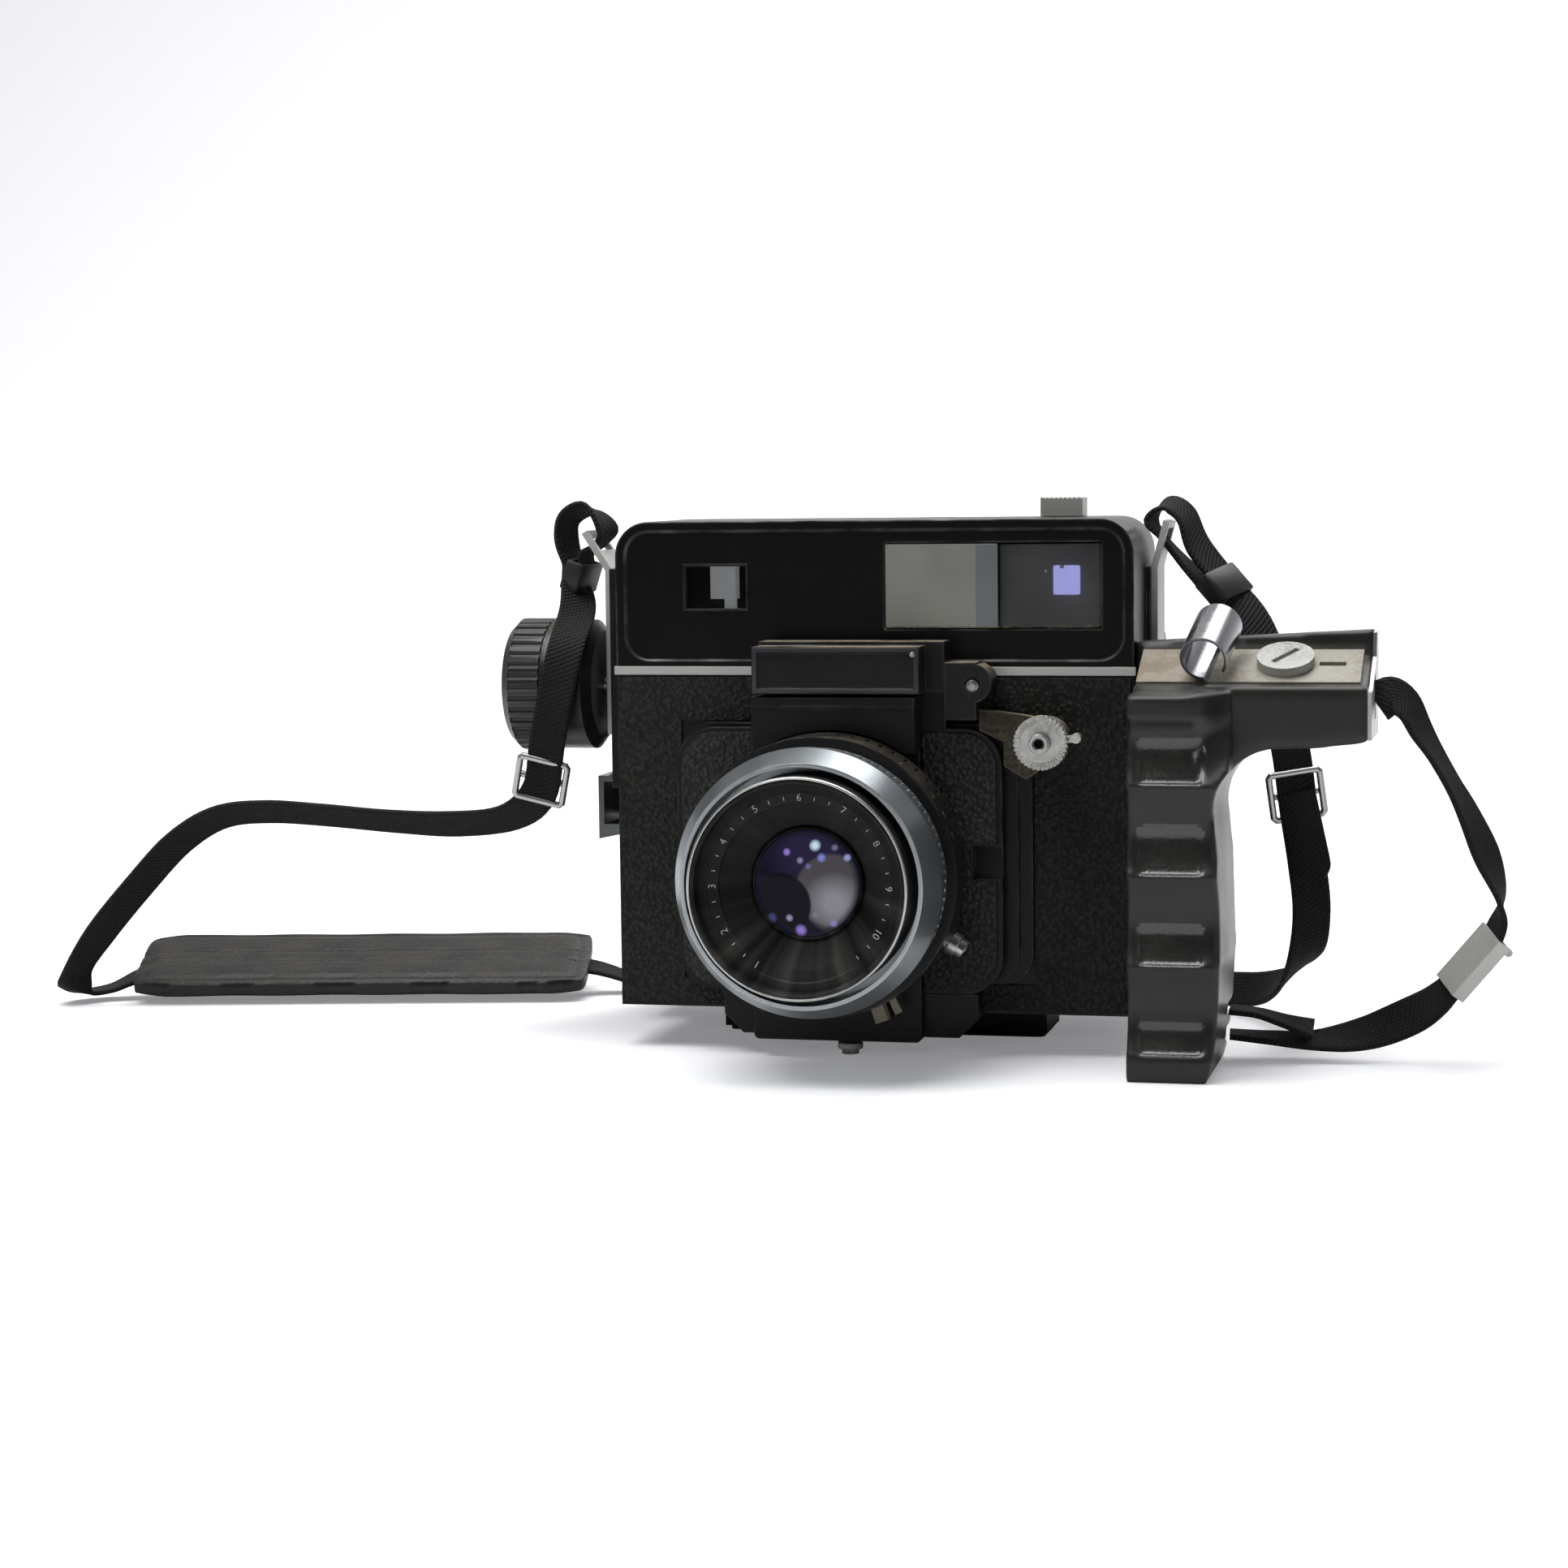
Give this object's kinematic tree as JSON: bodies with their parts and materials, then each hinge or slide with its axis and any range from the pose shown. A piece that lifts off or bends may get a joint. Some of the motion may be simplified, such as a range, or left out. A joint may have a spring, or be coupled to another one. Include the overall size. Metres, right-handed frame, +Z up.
{
  "type": "rangefinder camera",
  "caption": "Medium format rangefinder camera with moving lens standard, interchangeable shutter lens, removable roll film back, left-hand grip, hand strap and padded neck strap.",
  "frame": {"origin": "mouth of the tripod socket, in the surface that the foot stands on", "axes": "+Z up, the lens looks along -Y, +X towards the grip, which is the viewer's right from in front"},
  "size_m": [0.4141, 0.1589, 0.1441],
  "materials": {
    "black_casting": "satin",
    "black_housing": "gloss",
    "leatherette": "matte",
    "satin_chrome": "satin",
    "steel": "satin",
    "brass": "satin",
    "knob_black": "satin",
    "lens_black": "satin",
    "blue_gray_metal": "satin",
    "coated_glass": "polished",
    "window_glass": "polished",
    "frosted_glass": "matte",
    "half_mirror": "polished",
    "bellows_cloth": "matte",
    "grip_plastic": "gloss",
    "cream_paint": "satin",
    "end_cap_metal": "satin",
    "webbing": "matte",
    "pad_vinyl": "satin",
    "spool_plastic": "matte",
    "carrier_metal": "satin",
    "ivory_plastic": "satin",
    "leaf_steel": "satin",
    "handle_gray": "satin"
  },
  "bodies": {
    "camera": {"body_casting": "black_casting", "top_housing": "black_housing", "trim_strip": "satin_chrome", "front_covering": "leatherette", "standard_surround": "black_casting", "base_foot": "black_casting", "tripod_bush": "brass", "rangefinder_window": "window_glass", "frosted_window": "frosted_glass", "viewfinder_window": "window_glass", "beam_splitter": "half_mirror", "eyepiece": "spool_plastic", "eyepiece_glass": "window_glass", "gear_case": "black_casting", "strap_lug_left": "steel", "strap_lug_right": "steel", "grip_shell": "grip_plastic", "accessory_plate": "cream_paint", "spring_clip": "satin_chrome", "grip_end_cap": "end_cap_metal", "neck_strap": "webbing", "hand_strap": "webbing", "shoulder_pad": "pad_vinyl", "strap_fittings": "steel", "clasp_base": "end_cap_metal"},
    "lens_standard": {"lens_standard": "black_casting", "standard_covering": "leatherette", "focus_rack": "brass", "nameplate_hood": "black_casting", "linkage_housing": "black_casting", "release_bracket": "black_casting", "lower_housing": "black_casting", "bellows": "bellows_cloth"},
    "focus_drive": {"focus_knob": "knob_black", "focus_shaft": "steel"},
    "rangefinder_arm": {"rangefinder_arm": "steel"},
    "release_lock_ring": {"release_lock_ring": "satin_chrome"},
    "release_button": {"release_button": "satin_chrome"},
    "lens_lock_pin": {"lens_lock_pin": "satin_chrome"},
    "lens": {"lens_plate": "black_casting", "shutter_housing": "lens_black", "front_ring": "lens_black", "front_glass": "coated_glass", "rear_group": "lens_black", "sync_terminal": "satin_chrome"},
    "aperture_ring": {"aperture_ring": "lens_black"},
    "iris": {"iris_leaves": "leaf_steel"},
    "speed_ring": {"speed_ring": "blue_gray_metal"},
    "cocking_lever": {"cocking_lever": "ivory_plastic"},
    "delay_lever": {"delay_lever": "ivory_plastic"},
    "film_back": {"film_back": "black_casting", "pressure_plate": "carrier_metal", "film_carrier": "carrier_metal"},
    "advance_handle": {"advance_handle": "handle_gray"},
    "supply_spool": {"supply_spool": "spool_plastic"},
    "takeup_spool": {"takeup_spool": "spool_plastic"},
    "counter_dial": {"counter_dial": "ivory_plastic"},
    "top_latch": {"top_latch": "satin_chrome"},
    "coin_screw": {"coin_screw": "satin_chrome"},
    "clasp_cover": {"clasp_cover": "end_cap_metal"}
  },
  "joints": [
    {"name": "focus_slide", "type": "slide", "parent": "camera", "child": "lens_standard", "axis": [0, -1, 0], "range_m": [0, 0.009], "deforming": ["bellows"]},
    {"name": "focus_knob_turn", "type": "hinge", "parent": "camera", "child": "focus_drive", "pos_m": [-0.085, -0.007, 0.0945], "axis": [1, 0, 0], "range_deg": [-202.3, 0]},
    {"name": "rangefinder_arm_turn", "type": "hinge", "parent": "camera", "child": "rangefinder_arm", "pos_m": [-0.03, -0.023, 0.106], "axis": [0, 0, 1], "range_deg": [0, 5.2]},
    {"name": "release_lock_turn", "type": "hinge", "parent": "lens_standard", "child": "release_lock_ring", "pos_m": [0.0544, -0.052, 0.0828], "axis": [0, 1, 0], "range_deg": [0, 60]},
    {"name": "release_press", "type": "slide", "parent": "lens_standard", "child": "release_button", "axis": [0, 1, 0], "range_m": [0, 0.0025], "stiffness_N_per_m": 250, "springref_m": -0.001},
    {"name": "lens_lock_press", "type": "slide", "parent": "lens_standard", "child": "lens_lock_pin", "axis": [0, 0, 1], "range_m": [0, 0.002], "stiffness_N_per_m": 300, "springref_m": -0.001},
    {"name": "lens_removal", "type": "slide", "parent": "lens_standard", "child": "lens", "axis": [0, -1, 0], "range_m": [0, 0.03]},
    {"name": "aperture_turn", "type": "hinge", "parent": "lens", "child": "aperture_ring", "pos_m": [0, -0.06, 0.0496], "axis": [0, 1, 0], "range_deg": [-30, 30]},
    {"name": "iris_turn", "type": "hinge", "parent": "lens", "child": "iris", "pos_m": [0, -0.06, 0.0496], "axis": [0, 1, 0], "range_deg": [-15, 15]},
    {"name": "speed_turn", "type": "hinge", "parent": "lens", "child": "speed_ring", "pos_m": [0, -0.078, 0.0496], "axis": [0, 1, 0], "range_deg": [-75, 75]},
    {"name": "cocking_turn", "type": "hinge", "parent": "lens", "child": "cocking_lever", "pos_m": [0, -0.052, 0.0496], "axis": [0, 1, 0], "range_deg": [0, 40]},
    {"name": "delay_turn", "type": "hinge", "parent": "lens", "child": "delay_lever", "pos_m": [0, -0.0545, 0.0496], "axis": [0, 1, 0], "range_deg": [0, 45]},
    {"name": "film_back_removal", "type": "slide", "parent": "camera", "child": "film_back", "axis": [0, 1, 0], "range_m": [0, 0.03]},
    {"name": "advance_pull", "type": "slide", "parent": "film_back", "child": "advance_handle", "axis": [-1, 0, 0], "range_m": [0, 0.045]},
    {"name": "supply_spool_turn", "type": "hinge", "parent": "film_back", "child": "supply_spool", "pos_m": [0.047, 0.0214, 0.0496], "axis": [0, 0, 1], "range_deg": [-430, 0]},
    {"name": "takeup_spool_turn", "type": "hinge", "parent": "film_back", "child": "takeup_spool", "pos_m": [-0.047, 0.0214, 0.0496], "axis": [0, 0, 1], "range_deg": [-430, 0]},
    {"name": "counter_turn", "type": "hinge", "parent": "film_back", "child": "counter_dial", "pos_m": [0.061, 0.038, 0.097], "axis": [0, 1, 0], "range_deg": [0, 30.1]},
    {"name": "top_latch_slide", "type": "slide", "parent": "camera", "child": "top_latch", "axis": [1, 0, 0], "range_m": [0, 0.004]},
    {"name": "coin_screw_turn", "type": "hinge", "parent": "camera", "child": "coin_screw", "pos_m": [0.115, -0.04371, 0.1024], "axis": [0, -0.4226, 0.9063], "range_deg": [-180, 180]},
    {"name": "clasp_turn", "type": "hinge", "parent": "camera", "child": "clasp_cover", "pos_m": [0.16779, -0.03125, 0.03116], "axis": [0.3609, -0.8827, -0.3012], "range_deg": [0, 100]}
  ],
  "couplings": [
    {"joint": "focus_knob_turn", "follows": "focus_slide", "rad_per_m": -392.16},
    {"joint": "rangefinder_arm_turn", "follows": "focus_slide", "rad_per_m": 10},
    {"joint": "iris_turn", "follows": "aperture_turn", "ratio": 0.5},
    {"joint": "supply_spool_turn", "follows": "advance_pull", "rad_per_m": -166.67},
    {"joint": "takeup_spool_turn", "follows": "advance_pull", "rad_per_m": -166.67},
    {"joint": "counter_turn", "follows": "advance_pull", "rad_per_m": 11.636}
  ]
}
